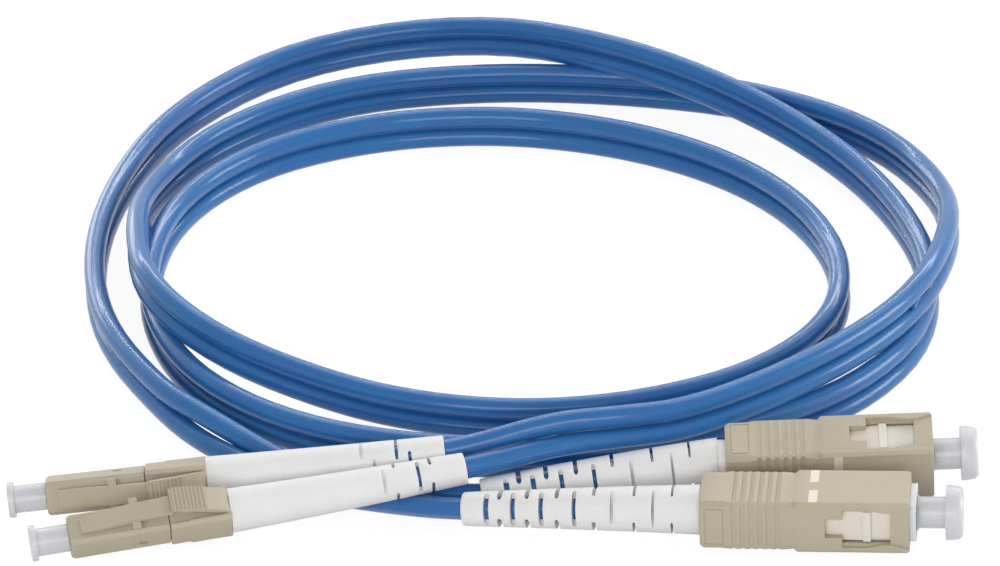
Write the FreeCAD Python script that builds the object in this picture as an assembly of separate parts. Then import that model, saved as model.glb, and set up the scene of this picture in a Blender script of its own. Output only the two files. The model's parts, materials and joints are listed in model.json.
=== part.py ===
import FreeCAD, Part
import math
import os

# Duplex LC to SC fibre patch cord, millimetres, +Z up.
# Origin: centre of the front SC ferrule's end face. +X is that plug's insertion direction.

V = FreeCAD.Vector
X_AXIS = V(1, 0, 0)

# Surface that the cord lies on: under the front SC plug's key.
SC_WIDTH = 9.0
SC_HEIGHT = 7.4
KEY_HEIGHT = 0.8
FLOOR_Z = -SC_HEIGHT / 2 - KEY_HEIGHT

# Cord: two round strands joined as a zip pair.
STRAND_D = 2.9
STRAND_PITCH = 3.1
STRAND_SIDES = 12
BUFFER_D = 0.9

# Clearances.
RUN_GAP = 0.05
SLIDE_GAP = 0.1
SEAT_GAP = 0.05
MARK_GAP = 0.01

# SC plug, measured from the ferrule's end face towards the cord.
SC_FERRULE_D = 2.5
SC_FERRULE_LEN = 10.5
SC_FERRULE_CHAMFER = 0.35
SC_PROTRUSION = 1.4
SC_FRAME_W = 7.0
SC_FRAME_H = 5.2
SC_FRAME_LEN = 18.4
SC_FRAME_CORNER = 0.8
SC_SLEEVE_BORE = 4.5
SC_SLEEVE_DEPTH = 6.4
SC_SEAT_WALL = 1.0
SC_CHAMBER_BORE = 4.2
SC_LATCH_SETBACK = 5.8
SC_LATCH_LEN = 1.0
SC_LATCH_RISE = 0.45
SC_LATCH_TALL = 4.3
SC_RAMP_LEN = 3.0
SC_HOUSING_LEN = 26.95
SC_HOUSING_FRONT_ZONE = 14.4
SC_GRIP_INSET = 0.2
SC_CORNER = 0.4
SC_GRIP_CORNER = 0.6
SC_ZONE_RAMP = 0.5
SC_END_TAPER = 0.5
SC_HOUSING_TRAVEL = 1.0
SC_FRAME_SHOW = 0.85
SC_WINDOW_START = 2.4
SC_WINDOW_END = 8.6
SC_WINDOW_TALL = 4.7
SC_SLOT_END = 10.8
SC_SLOT_TALL = 2.7
SC_CHANNEL_TALL = 5.6
SC_CHANNEL_DEEP = 0.45
SC_MARK_SETBACK = 12.35
SC_MARK_LEN = 1.2
SC_MARK_WIDE = 3.1
SC_MARK_GAP = 2.0
SC_MARK_DEEP = 0.2
SC_KEY_WIDE = 2.1
SC_KEY_LEN = 12.4
SC_KEY_SETBACK = 1.0
SC_GROOVES = 7
SC_GROOVE_PITCH = 1.05
SC_GROOVE_START = 3.9
SC_GROOVE_WIDE = 0.4
SC_GROOVE_DEEP = 0.22
SC_LABEL_LEN = 2.5
SC_LABEL_TALL = 5.2
SC_LABEL_SETBACK = 0.7
SC_LABEL_DEEP = 0.15
SC_FLANGE_LEN = 3.0
SC_FLANGE_TAIL_LEN = 2.6
SC_SPRING_WIRE = 0.45
SC_SPRING_TURNS = 4
SC_SPRING_PITCH = 1.15
SC_FLOAT = 0.8
SC_STOP_TAIL_D = 3.6
SC_STOP_COLLAR_D = 5.0
SC_STOP_COLLAR_LEN = 1.2
CRIMP_WALL = 0.25
SC_CRIMP_LEN = 5.4
SC_BOOT_LEN = 31.0
SC_BOOT_D = 6.5
SC_BOOT_NECK_D = 5.9
SC_BOOT_NECK_LEN = 3.3
SC_BOOT_TAIL_D = 4.4
SC_BOOT_OVERLAP = 0.5
SC_BOOT_SLOTS = [3.4, 5.1, 6.9, 8.7, 10.6, 12.6, 14.9, 17.4, 19.8, 22.6, 25.1, 27.5]
SC_BOOT_ROLL = 28.0
SPRING_SIDES = 12
BOOT_SIDES = 16
BORE_SIDES = 10
BOOT_STEPS = 3
BOOT_SLOT_TALL = 2.8
BOOT_SLOT_WIDE = 0.75
BOOT_SLOT_NARROW = 0.35
SC_CAP_BARREL_D = 4.1
SC_CAP_BARREL_LEN = 3.7
SC_CAP_HEAD_D = 7.1
SC_CAP_HEAD_LEN = 2.2
SC_CAP_TIP_D = 6.1
SC_CAP_PLUG_LEN = 5.6

# LC plug, measured from the front face of its housing towards the cord.
LC_BODY = 4.5
LC_CORNER = 0.45
LC_FERRULE_D = 1.25
LC_FERRULE_SHOW = 1.6
LC_FERRULE_LEN = 8.6
LC_SLEEVE_BORE = 3.2
LC_SLEEVE_DEPTH = 5.4
LC_SEAT_WALL = 0.9
LC_CHAMBER_BORE = 3.5
LC_FRONT_LEN = 12.9
LC_JOINT_GAP = 0.2
LC_COLLAR_W = 4.9
LC_COLLAR_LEN = 2.4
LC_REAR_W = 5.0
LC_REAR_H = 5.4
LC_REAR_LEN = 5.6
LC_PORT_LEN = 1.1
LC_PORT_TALL = 0.5
LC_PORT_SETBACK = 8.9
LC_PORT_DEEP = 0.4
LC_LATCH_ROOT = 2.0
LC_LATCH_END = 14.6
LC_LATCH_RISE_DEG = 7.1
LC_LATCH_WIDE = 2.5
LC_EAR_SETBACK = 8.2
LC_EAR_LEN = 1.1
LC_EAR_SPAN = 4.4
LC_TRIGGER_ROOT = 20.2
LC_TRIGGER_TIP = 13.4
LC_TRIGGER_WIDE = 3.4
LC_TRIGGER_THICK = 0.75
LC_TRIGGER_RIBS = 5
LC_TRIGGER_RIB_PITCH = 0.92
LC_FLANGE_LEN = 2.0
LC_SPRING_WIRE = 0.35
LC_SPRING_TURNS = 3
LC_SPRING_PITCH = 0.95
LC_FLOAT = 0.6
LC_STOP_TAIL_D = 3.6
LC_BOOT_LEN = 31.2
LC_BOOT_D = 5.8
LC_BOOT_TAIL_D = 4.2
LC_BOOT_SLOTS = [4.6, 6.3, 9.3, 10.9]
LC_CAP_BARREL_D = 3.6
LC_CAP_BARREL_LEN = 4.2
LC_CAP_HEAD_D = 4.7
LC_CAP_HEAD_LEN = 0.8
LC_CAP_PLUG_LEN = 4.4
BOOT_BORE = STRAND_D + 2 * SLIDE_GAP

# Where each plug lies: its reference point, yaw, pitch and roll in degrees.
SC_FRONT_AT = ((0.0, 0.0, 0.0), 0.0, 0.0, 0.0)
SC_REAR_AT = ((1.4, 13.3, 1.0), 4.6, 0.6, 107.0)
LC_FRONT_AT = ((-110.7, -7.2, -1.1), 195.3, -2.8, -30.0)
LC_REAR_AT = ((-115.0, 2.7, -0.75), 188.5, -3.0, -73.0)

# How far each boot's tail is bent off its plug's axis, along Y and Z of the whole object.
SC_FRONT_BEND = (1.6, -1.3)
SC_REAR_BEND = (-2.1, -2.45)
LC_FRONT_BEND = (0.3, 0.3)
LC_REAR_BEND = (-0.1, 0.3)
SC_REAR_LEAN = 4.6

# Coil: stations every STATION_STEP degrees, anticlockwise seen from above, from COIL_START.
COIL_CENTRE = (-60.0, 66.7)
COIL_START = -60.0
STATION_STEP = 20.0
COIL_RADII = [
    57.7, 57.2, 59.0, 59.9, 61.8, 62.7, 59.7, 56.7, 57.3, 59.7, 59.4, 55.9, 51.3, 50.5, 47.0, 40.5,
    40.1, 41.6, 43.6, 46.3, 47.3, 45.3, 42.8, 41.2, 40.7, 41.5, 43.9, 47.0, 50.3, 50.6, 49.6, 49.8,
    50.9, 51.3, 50.9, 51.3, 54.8, 58.8, 59.8, 57.4, 54.9, 55.1, 54.9, 55.6, 65.2, 73.8, 68.2, 61.3,
    57.6, 56.4, 57.2,
]
COIL_LIFTS = {
    0: 5.4, 1: 6.0, 2: 6.0, 3: 5.4, 4: 1.1, 11: 0.9, 12: 5.4, 13: 6.1, 14: 4.5, 15: 0.5,
    42: 2.7, 43: 6.0, 44: 4.4, 45: 0.3,
}
PAIR_Z = FLOOR_Z + STRAND_D / 2 + STRAND_PITCH / 2
COIL_SKIN = 0.1
RAISED = 0.6
RAISED_SPANS = [(0, 5.5), (10.5, 15.5), (41.5, 45.5)]

# Loose ends of the four strands, from outside each boot to the coil.
BOOT_PATH_CORNERS = 2
PAST_TAIL = 2.2
LEG_POINTS = {
    "sc_front": [(-71.0, 6.0, -3.05), (-78.5, 7.9, -3.05), (-84.6, 11.0, -3.05), (-90.6, 15.7, -3.05),
                 (-97.6, 21.7, -3.05), (-103.8, 29.9, -3.05)],
    "sc_rear": [(-70.5, 9.8, -3.05), (-77.5, 11.5, -3.0), (-84.0, 14.5, -2.5), (-89.7, 18.9, -1.5),
                (-97.1, 23.6, -0.2), (-103.8, 29.9, 0.05)],
    "lc_front": [(-48.5, 11.3, 2.9), (-40.0, 13.5, 2.9), (-31.2, 16.7, 2.35)],
    "lc_rear": [(-49.5, 12.6, 5.5), (-41.0, 13.4, 6.0), (-31.2, 16.7, 5.45)],
}


# ---------- basic forms, all laid along X ----------

def block(x0, x1, y0, y1, z0, z1):
    return Part.makeBox(x1 - x0, y1 - y0, z1 - z0, V(x0, y0, z0))


def centred_block(x0, x1, width, height):
    return block(x0, x1, -width / 2, width / 2, -height / 2, height / 2)


def rod(x0, x1, diameter):
    return Part.makeCylinder(diameter / 2, x1 - x0, V(x0, 0, 0), X_AXIS)


def hexagon_bar(x0, x1, across_flats):
    corners = []
    for k in range(7):
        turn = math.pi * k / 3
        radius = across_flats / 2 / math.cos(math.pi / 6)
        corners.append(V(x0, radius * math.cos(turn), radius * math.sin(turn)))
    return Part.Face(Part.makePolygon(corners)).extrude(V(x1 - x0, 0, 0))


def crimped_tube(x0, x1, across_flats, inner):
    """Ferrule for the cord's yarn, squeezed to a hexagon."""
    return hexagon_bar(x0, x1, across_flats).cut(rod(x0 - 1, x1 + 1, inner))


def turned(points):
    outline = [V(x, r, 0) for x, r in points]
    outline.append(outline[0])
    face = Part.Face(Part.makePolygon(outline))
    return face.revolve(V(0, 0, 0), X_AXIS, 360)


def bevelled_outline(x, width, height, corner):
    w, h, c = width / 2, height / 2, corner
    corners = [(w, h - c), (w - c, h), (c - w, h), (-w, h - c), (-w, c - h), (c - w, -h), (w - c, -h), (w, c - h)]
    points = [V(x, y, z) for y, z in corners]
    points.append(points[0])
    return Part.makePolygon(points)


def bevelled_bar(stations):
    wires = [bevelled_outline(*station) for station in stations]
    pieces = [Part.makeLoft(list(pair), True, True) for pair in zip(wires, wires[1:])]
    return pieces[0].fuse(pieces[1:]).removeSplitter() if len(pieces) > 1 else pieces[0]


def rounded_bar(x0, x1, width, height, radius):
    bar = centred_block(x0, x1, width, height)
    long_edges = [e for e in bar.Edges if abs(e.tangentAt(e.FirstParameter).x) > 0.9]
    return bar.makeFillet(radius, long_edges)


def side_profile(points, width):
    outline = [V(x, -width / 2, z) for x, z in points]
    outline.append(outline[0])
    return Part.Face(Part.makePolygon(outline)).extrude(V(0, width, 0))


def spring_coil(x_front, outer, wire, turns, pitch):
    """Square wire wound towards -X, with SPRING_SIDES straight pieces to a turn."""
    wires = []
    for k in range(turns * SPRING_SIDES + 1):
        turn = 2 * math.pi * k / SPRING_SIDES
        x = x_front - pitch * k / SPRING_SIDES
        points = []
        for radius, along in ((outer / 2, 0), (outer / 2, -wire), (outer / 2 - wire, -wire), (outer / 2 - wire, 0)):
            points.append(V(x + along, radius * math.cos(turn), radius * math.sin(turn)))
        wires.append(Part.makePolygon(points + points[:1]))
    return Part.makeLoft(wires, True, True)


def placed_at(spot):
    """Where a plug lies: its reference point, then yaw, nose-up pitch and roll in degrees."""
    point, yaw, nose_up, roll = spot
    return FreeCAD.Placement(V(*point), FreeCAD.Rotation(yaw, -nose_up, roll))


# ---------- boots ----------

class BootAxis:
    """A boot's centre line: it leans off the plug's axis at x_root, then bends on in an arc to its tail."""

    def __init__(self, x_root, length, spot, tail_offset, lean_deg):
        self.root = V(x_root, 0, 0)
        self.length = length
        self.lean = math.radians(lean_deg)
        offset = placed_at(spot).Rotation.inverted().multVec(V(0, *tail_offset))
        offset.x = 0
        self.side = V(offset).normalize()
        self.radius = length ** 2 / (2 * (offset.Length - length * self.lean))

    def at(self, distance):
        turn = self.lean + distance / self.radius
        along = V(-1, 0, 0) * (self.radius * (math.sin(turn) - math.sin(self.lean)))
        across = self.side * (self.radius * (math.cos(self.lean) - math.cos(turn)))
        direction = V(-1, 0, 0) * math.cos(turn) + self.side * math.sin(turn)
        return self.root + along + across, direction

    def corners(self, start_x):
        """Corners of the straight runs that touch the centre line from start_x on, and a point past its tail."""
        step = self.length / BOOT_PATH_CORNERS
        outward = self.side * (self.radius * (1 - 1 / math.cos(step / self.radius / 2)))
        points = [self.root] if self.lean else []
        for k in range(BOOT_PATH_CORNERS):
            corner = self.at((k + 0.5) * step)[0] + outward
            if start_x - corner.x > 2 * STRAND_D:
                points.append(corner)
        tail, direction = self.at(self.length)
        points.append(tail + direction * PAST_TAIL)
        return points

    def placement(self, distance, roll_deg):
        centre, direction = self.at(distance)
        turn = FreeCAD.Rotation(V(-1, 0, 0), direction)
        return FreeCAD.Placement(centre, turn.multiply(FreeCAD.Rotation(X_AXIS, roll_deg)))


def faceted_taper(axis, distances, diameters, sides):
    """Taper along a boot's centre line, with flat sides."""
    wires = []
    for distance, diameter in zip(distances, diameters):
        points = []
        for k in range(sides):
            turn = 2 * math.pi * k / sides
            points.append(V(0, diameter / 2 * math.cos(turn), diameter / 2 * math.sin(turn)))
        ring = Part.makePolygon(points + points[:1])
        ring.Placement = axis.placement(distance, 0)
        wires.append(ring)
    return Part.makeLoft(wires, True, True)


def boot(axis, root_d, tail_d, bore, slots, roll_deg):
    length = axis.length
    steps = [length * k / BOOT_STEPS for k in range(BOOT_STEPS + 1)]
    body = faceted_taper(axis, steps, [root_d + (tail_d - root_d) * s / length for s in steps], BOOT_SIDES)
    through = [-0.1] + steps[1:-1] + [length + 0.1]
    across_corners = bore / math.cos(math.pi / BORE_SIDES)
    body = body.cut(faceted_taper(axis, through, [across_corners] * len(through), BORE_SIDES))
    cuts = []
    for number, from_tail in enumerate(slots):
        at = length - from_tail
        wide = BOOT_SLOT_WIDE - (BOOT_SLOT_WIDE - BOOT_SLOT_NARROW) * from_tail / length
        tall = BOOT_SLOT_TALL / 2
        for side in (0, 180):
            slot = block(-wide / 2, wide / 2, -tall, tall, bore / 4, root_d)
            slot.Placement = axis.placement(at, roll_deg + side + 90 * (number % 2))
            cuts.append(slot)
    return body.cut(cuts)


# ---------- SC plug ----------

def sc_ferrule():
    c = SC_FERRULE_CHAMFER
    r = SC_FERRULE_D / 2
    return turned([(0, 0.06), (0, r - c), (-c, r), (-SC_FERRULE_LEN, r), (-SC_FERRULE_LEN, 0.06)])


SC_FRAME_FRONT = -SC_PROTRUSION
SC_FRAME_BACK = SC_FRAME_FRONT - SC_FRAME_LEN
SC_SEAT_X = SC_FRAME_FRONT - SC_SLEEVE_DEPTH - SC_SEAT_WALL


def sc_plug_frame():
    frame = rounded_bar(SC_FRAME_BACK, SC_FRAME_FRONT, SC_FRAME_W, SC_FRAME_H, SC_FRAME_CORNER)
    frame = frame.cut(rod(SC_FRAME_FRONT - SC_SLEEVE_DEPTH, 0, SC_SLEEVE_BORE))
    frame = frame.cut(rod(SC_SEAT_X - 1, 0, SC_FERRULE_D + 2 * RUN_GAP))
    frame = frame.cut(rod(SC_FRAME_BACK - 1, SC_SEAT_X, SC_CHAMBER_BORE + 2 * SLIDE_GAP))
    ridges = []
    x0 = SC_FRAME_FRONT - SC_LATCH_SETBACK
    face = SC_FRAME_W / 2
    top = face + SC_LATCH_RISE
    for side in (1, -1):
        outline = [(x0, face - 0.2), (x0, top), (x0 - SC_LATCH_LEN, top), (x0 - SC_LATCH_LEN, face + 0.12),
                   (x0 - SC_LATCH_LEN - SC_RAMP_LEN, face + 0.02), (x0 - SC_LATCH_LEN - SC_RAMP_LEN, face - 0.2)]
        points = [V(x, y * side, -SC_LATCH_TALL / 2) for x, y in outline]
        points.append(points[0])
        ridges.append(Part.Face(Part.makePolygon(points)).extrude(V(0, 0, SC_LATCH_TALL)))
    return frame.fuse(ridges)


def sc_flange():
    r = SC_CHAMBER_BORE / 2
    tail_r = SC_CHAMBER_BORE / 2 - SC_SPRING_WIRE - RUN_GAP * 2
    bore = SC_FERRULE_D / 2
    x0 = SC_SEAT_X - RUN_GAP
    x1 = x0 - SC_FLANGE_LEN
    x2 = x1 - SC_FLANGE_TAIL_LEN
    body = turned([(x0, bore), (x0, r - 0.3), (x0 - 0.3, r), (x1, r), (x1, tail_r), (x2, tail_r), (x2, BUFFER_D / 2),
                   (-SC_FERRULE_LEN, BUFFER_D / 2), (-SC_FERRULE_LEN, bore)])
    flat = r * 0.9
    flats = [block(x1 + 0.8, x0 - 0.8, -r - 1, r + 1, flat, r + 1), block(x1 + 0.8, x0 - 0.8, -r - 1, r + 1, -r - 1, -flat)]
    return body.cut(flats)


def sc_spring():
    x = SC_SEAT_X - RUN_GAP - SC_FLANGE_LEN
    return spring_coil(x - SEAT_GAP, SC_CHAMBER_BORE, SC_SPRING_WIRE, SC_SPRING_TURNS, SC_SPRING_PITCH)


SC_SPRING_END = (SC_SEAT_X - RUN_GAP - SC_FLANGE_LEN - SEAT_GAP
                 - SC_SPRING_TURNS * SC_SPRING_PITCH - SC_SPRING_WIRE)
SC_STOP_FRONT = SC_SPRING_END - SC_FLOAT - SEAT_GAP
SC_STOP_BACK = SC_FRAME_BACK - SC_STOP_COLLAR_LEN
SC_CRIMP_BACK = SC_STOP_BACK - SEAT_GAP - SC_CRIMP_LEN


def sc_spring_stop():
    r = SC_CHAMBER_BORE / 2 + SLIDE_GAP - RUN_GAP
    bore = BUFFER_D / 2 + 0.35
    tail = SC_STOP_TAIL_D / 2
    return turned([(SC_STOP_FRONT, bore), (SC_STOP_FRONT, r), (SC_FRAME_BACK - SEAT_GAP, r),
                   (SC_FRAME_BACK - SEAT_GAP, SC_STOP_COLLAR_D / 2), (SC_STOP_BACK, SC_STOP_COLLAR_D / 2),
                   (SC_STOP_BACK, tail), (SC_CRIMP_BACK + 0.6, tail), (SC_CRIMP_BACK + 0.6, bore)])


def sc_crimp_sleeve():
    inner = SC_STOP_TAIL_D + 2 * RUN_GAP
    return crimped_tube(SC_CRIMP_BACK, SC_STOP_BACK - SEAT_GAP, inner + 2 * CRIMP_WALL, inner)


def sc_housing(front):
    back = front - SC_HOUSING_LEN
    step = front - SC_HOUSING_FRONT_ZONE
    grip_w = SC_WIDTH - 2 * SC_GRIP_INSET
    grip_h = SC_HEIGHT - 2 * SC_GRIP_INSET
    taper = SC_END_TAPER
    shell = bevelled_bar([
        (front, SC_WIDTH - taper, SC_HEIGHT - taper, SC_CORNER),
        (front - taper, SC_WIDTH, SC_HEIGHT, SC_CORNER),
        (step, SC_WIDTH, SC_HEIGHT, SC_CORNER),
        (step - SC_ZONE_RAMP, grip_w, grip_h, SC_GRIP_CORNER),
        (back + taper, grip_w, grip_h, SC_GRIP_CORNER),
        (back, grip_w - taper, grip_h - taper, SC_GRIP_CORNER),
    ])
    key_front = front - SC_KEY_SETBACK
    key = block(key_front - SC_KEY_LEN, key_front, -SC_KEY_WIDE / 2, SC_KEY_WIDE / 2,
                -SC_HEIGHT / 2 - KEY_HEIGHT, -SC_HEIGHT / 2 + 0.3)
    nose = [e for e in key.Edges if e.BoundBox.XMin > key_front - 0.01 and e.BoundBox.ZMax < FLOOR_Z + 0.01]
    shell = shell.fuse(key.makeChamfer(0.4, nose))
    cavity = (SC_FRAME_W + 2 * SLIDE_GAP, SC_FRAME_H + 2 * SLIDE_GAP, SC_FRAME_CORNER / 2)
    cuts = [bevelled_bar([(SC_BOOT_FRONT - 0.5, *cavity), (front + 1, *cavity)])]
    neck_bore = SC_BOOT_NECK_D + 2 * SLIDE_GAP
    cuts.append(rod(back - 1, back + SC_BOOT_NECK_LEN + 0.1, neck_bore))
    cuts.append(rod(back - 1, SC_BOOT_FRONT, SC_FRAME_H + 2 * SLIDE_GAP))
    for side in (1, -1):
        cuts.extend(sc_side_cuts(front, back, side))
    for number in range(SC_GROOVES):
        x0 = back + SC_GROOVE_START + number * SC_GROOVE_PITCH
        x1 = x0 + SC_GROOVE_WIDE
        ring = centred_block(x0, x1, SC_WIDTH + 2, SC_HEIGHT + 2)
        inset = 2 * SC_GROOVE_DEEP
        section = (grip_w - inset, grip_h - inset, SC_GRIP_CORNER - SC_GROOVE_DEEP)
        core = bevelled_bar([(x0 - 0.1, *section), (x1 + 0.1, *section)])
        cuts.append(ring.cut(core))
    cuts.extend(sc_mark_blocks(front, 0.0))
    return shell.cut(cuts)


def sc_side_cuts(front, back, side):
    face = SC_WIDTH / 2

    def opening(x0, x1, deep, tall):
        y0, y1 = face - deep, face + 1
        if side < 0:
            y0, y1 = -y1, -y0
        return block(x0, x1, y0, y1, -tall / 2, tall / 2)

    through = face - SC_FRAME_W / 2 + 0.3
    channel_start = front - SC_WINDOW_END
    label = back + SC_LABEL_SETBACK
    return [
        opening(front - SC_WINDOW_END, front - SC_WINDOW_START, through, SC_WINDOW_TALL),
        opening(front - SC_SLOT_END, front - SC_WINDOW_END, through, SC_SLOT_TALL),
        opening(channel_start, front + 1, SC_CHANNEL_DEEP, SC_CHANNEL_TALL),
        opening(label, label + SC_LABEL_LEN, SC_GRIP_INSET + SC_LABEL_DEEP, SC_LABEL_TALL),
    ]


def sc_mark_blocks(front, slack):
    x0 = front - SC_MARK_SETBACK - SC_MARK_LEN / 2
    top = SC_HEIGHT / 2
    marks = []
    for side in (1, -1):
        inner = side * SC_MARK_GAP / 2
        outer = side * (SC_MARK_GAP / 2 + SC_MARK_WIDE)
        y0, y1 = min(inner, outer), max(inner, outer)
        marks.append(block(x0 + slack, x0 + SC_MARK_LEN - slack, y0 + slack, y1 - slack,
                           top - SC_MARK_DEEP + slack, top + (0 if slack else 1)))
    return marks


def sc_marks(front):
    zone = (SC_WIDTH, SC_HEIGHT, SC_CORNER)
    skin = bevelled_bar([(front - SC_HOUSING_FRONT_ZONE, *zone), (front, *zone)])
    return Part.makeCompound([mark.common(skin) for mark in sc_mark_blocks(front, MARK_GAP)])


SC_BOOT_ROOT = SC_FRAME_FRONT - SC_FRAME_SHOW - SC_HOUSING_LEN - SLIDE_GAP
SC_BOOT_FRONT = SC_STOP_BACK - SLIDE_GAP


def sc_boot(axis):
    """Slotted grip on a neck; a leaning grip is trimmed square in front, clear of the sliding shell."""
    grip = boot(axis, SC_BOOT_D, SC_BOOT_TAIL_D, BOOT_BORE, SC_BOOT_SLOTS, SC_BOOT_ROLL)
    grip = grip.cut(rod(SC_BOOT_ROOT, SC_BOOT_ROOT + SC_BOOT_D, 2 * SC_BOOT_D))
    step = SC_BOOT_ROOT + SC_BOOT_NECK_LEN
    neck = rod(SC_BOOT_ROOT - SC_BOOT_OVERLAP, step, SC_BOOT_NECK_D).fuse(rod(SC_BOOT_ROOT, SC_BOOT_FRONT, SC_FRAME_H))
    neck = neck.cut(rod(SC_BOOT_ROOT - 1, SC_BOOT_FRONT + 1, BOOT_BORE + 2 * SLIDE_GAP))
    crimp_bore = (SC_STOP_TAIL_D + 2 * RUN_GAP + 2 * CRIMP_WALL) / math.cos(math.pi / 6) + 2 * RUN_GAP
    neck = neck.cut(rod(SC_CRIMP_BACK - SEAT_GAP, SC_BOOT_FRONT + 1, crimp_bore))
    return grip.fuse(neck)


def sc_cap():
    x0 = SC_FRAME_FRONT + SEAT_GAP
    x1 = x0 + SC_CAP_BARREL_LEN
    x2 = x1 + SC_CAP_HEAD_LEN
    plug = SC_SLEEVE_BORE / 2 - SLIDE_GAP
    barrel = SC_CAP_BARREL_D / 2 + 0.35
    head = SC_CAP_HEAD_D / 2
    tip = SC_CAP_TIP_D / 2
    bore = SC_FERRULE_D / 2 + RUN_GAP
    return turned([(x0 - SC_CAP_PLUG_LEN, bore), (x0 - SC_CAP_PLUG_LEN, plug), (x0, plug), (x0, barrel),
                   (x0 + 0.3, SC_CAP_BARREL_D / 2), (x1, SC_CAP_BARREL_D / 2), (x1, head), (x1 + 0.6, head),
                   (x2 - 0.4, tip + 0.35), (x2, tip), (x2, 0), (RUN_GAP, 0), (RUN_GAP, bore)])


# ---------- LC plug ----------

LC_SEAT_X = -LC_SLEEVE_DEPTH - LC_SEAT_WALL
LC_FRONT_BACK = -LC_FRONT_LEN
LC_REAR_FRONT = LC_FRONT_BACK - LC_JOINT_GAP
LC_COLLAR_BACK = LC_REAR_FRONT - LC_COLLAR_LEN
LC_REAR_BACK = LC_COLLAR_BACK - LC_REAR_LEN
LC_FERRULE_BACK = LC_FERRULE_SHOW - LC_FERRULE_LEN


def lc_front_housing():
    taper = 0.3
    body = bevelled_bar([
        (0, LC_BODY - taper, LC_BODY - taper, LC_CORNER),
        (-taper, LC_BODY, LC_BODY, LC_CORNER),
        (LC_FRONT_BACK, LC_BODY, LC_BODY, LC_CORNER),
    ])
    cuts = [
        rod(-LC_SLEEVE_DEPTH, 1, LC_SLEEVE_BORE),
        rod(LC_SEAT_X - 1, 0, LC_FERRULE_D + 2 * RUN_GAP),
        rod(LC_FRONT_BACK - 1, LC_SEAT_X, LC_CHAMBER_BORE),
    ]
    port = -LC_PORT_SETBACK
    face = LC_BODY / 2
    for y0, y1 in ((face - LC_PORT_DEEP, face + 1), (-face - 1, LC_PORT_DEEP - face)):
        cuts.append(block(port - LC_PORT_LEN, port, y0, y1, -LC_PORT_TALL / 2 - 0.9, LC_PORT_TALL / 2 - 0.9))
    return body.cut(cuts)


def lc_rear_housing():
    collar = (LC_COLLAR_W, LC_COLLAR_W, LC_CORNER)
    wide = (LC_REAR_W, LC_REAR_H, LC_CORNER)
    body = bevelled_bar([
        (LC_REAR_FRONT, *collar),
        (LC_COLLAR_BACK, *collar),
        (LC_COLLAR_BACK - 0.3, *wide),
        (LC_REAR_BACK, *wide),
    ])
    plug_d = LC_CHAMBER_BORE - 2 * RUN_GAP
    body = body.fuse(rod(LC_REAR_FRONT, LC_STOP_FRONT, plug_d))
    body = body.fuse(rod(LC_CRIMP_BACK + 0.5, LC_REAR_BACK, LC_STOP_TAIL_D))
    trough = block(LC_COLLAR_BACK - 5.0, LC_REAR_FRONT + 1, -LC_TRIGGER_WIDE / 2 - 0.1, LC_TRIGGER_WIDE / 2 + 0.1,
                   LC_BODY / 2 - 0.1, LC_REAR_H)
    return body.cut([trough, rod(LC_CRIMP_BACK - 1, LC_STOP_FRONT + 1, BUFFER_D + 0.6)])


def lc_ferrule():
    c = LC_FERRULE_D / 6
    r = LC_FERRULE_D / 2
    x = LC_FERRULE_SHOW
    return turned([(x, 0.06), (x, r - c), (x - c, r), (LC_FERRULE_BACK, r), (LC_FERRULE_BACK, 0.06)])


def lc_flange():
    r = LC_CHAMBER_BORE / 2 - SLIDE_GAP
    tail_r = r - LC_SPRING_WIRE - 2 * RUN_GAP
    bore = LC_FERRULE_D / 2
    x0 = LC_SEAT_X - RUN_GAP
    x1 = x0 - LC_FLANGE_LEN
    x2 = x1 - LC_FLANGE_LEN * 0.8
    body = hexagon_bar(x1, x0, 2 * r * math.cos(math.pi / 6)).fuse(rod(x2, x1, 2 * tail_r))
    return body.cut([rod(LC_FERRULE_BACK, x0 + 1, 2 * bore), rod(x2 - 1, LC_FERRULE_BACK, BUFFER_D)])


LC_SPRING_FRONT = LC_SEAT_X - RUN_GAP - LC_FLANGE_LEN - SEAT_GAP
LC_STOP_FRONT = (LC_SPRING_FRONT - LC_SPRING_TURNS * LC_SPRING_PITCH - LC_SPRING_WIRE
                 - LC_FLOAT - SEAT_GAP)
LC_CRIMP_BACK = LC_REAR_BACK - 5.0


def lc_spring():
    outer = LC_CHAMBER_BORE - 2 * SLIDE_GAP
    return spring_coil(LC_SPRING_FRONT, outer, LC_SPRING_WIRE, LC_SPRING_TURNS, LC_SPRING_PITCH)


def lc_crimp_sleeve():
    inner = LC_STOP_TAIL_D + 2 * RUN_GAP
    return crimped_tube(LC_CRIMP_BACK, LC_REAR_BACK - SEAT_GAP, inner + 2 * CRIMP_WALL, inner)


def lc_latch():
    top = LC_BODY / 2 + RUN_GAP
    rise = math.tan(math.radians(LC_LATCH_RISE_DEG))

    def under(x):
        return top + (x - LC_LATCH_ROOT) * rise

    outline = [(1.3, top), (LC_LATCH_ROOT, top), (LC_LATCH_END, under(LC_LATCH_END)),
               (LC_LATCH_END, under(LC_LATCH_END) + 0.45), (LC_LATCH_END - 0.5, under(LC_LATCH_END) + 0.6),
               (7.6, under(7.6) + 0.75), (7.1, under(7.1) + 0.35), (6.6, under(6.6) + 0.35),
               (4.6, under(4.6) + 0.5), (4.2, under(4.2) + 0.25), (1.6, top + 0.3)]
    arm = side_profile([(-x, z) for x, z in outline], LC_LATCH_WIDE)
    ear = LC_EAR_SETBACK
    ears = block(-ear - LC_EAR_LEN, -ear, -LC_EAR_SPAN / 2, LC_EAR_SPAN / 2, under(ear) + 0.15, under(ear) + 0.95)
    return arm.fuse(ears)


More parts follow.
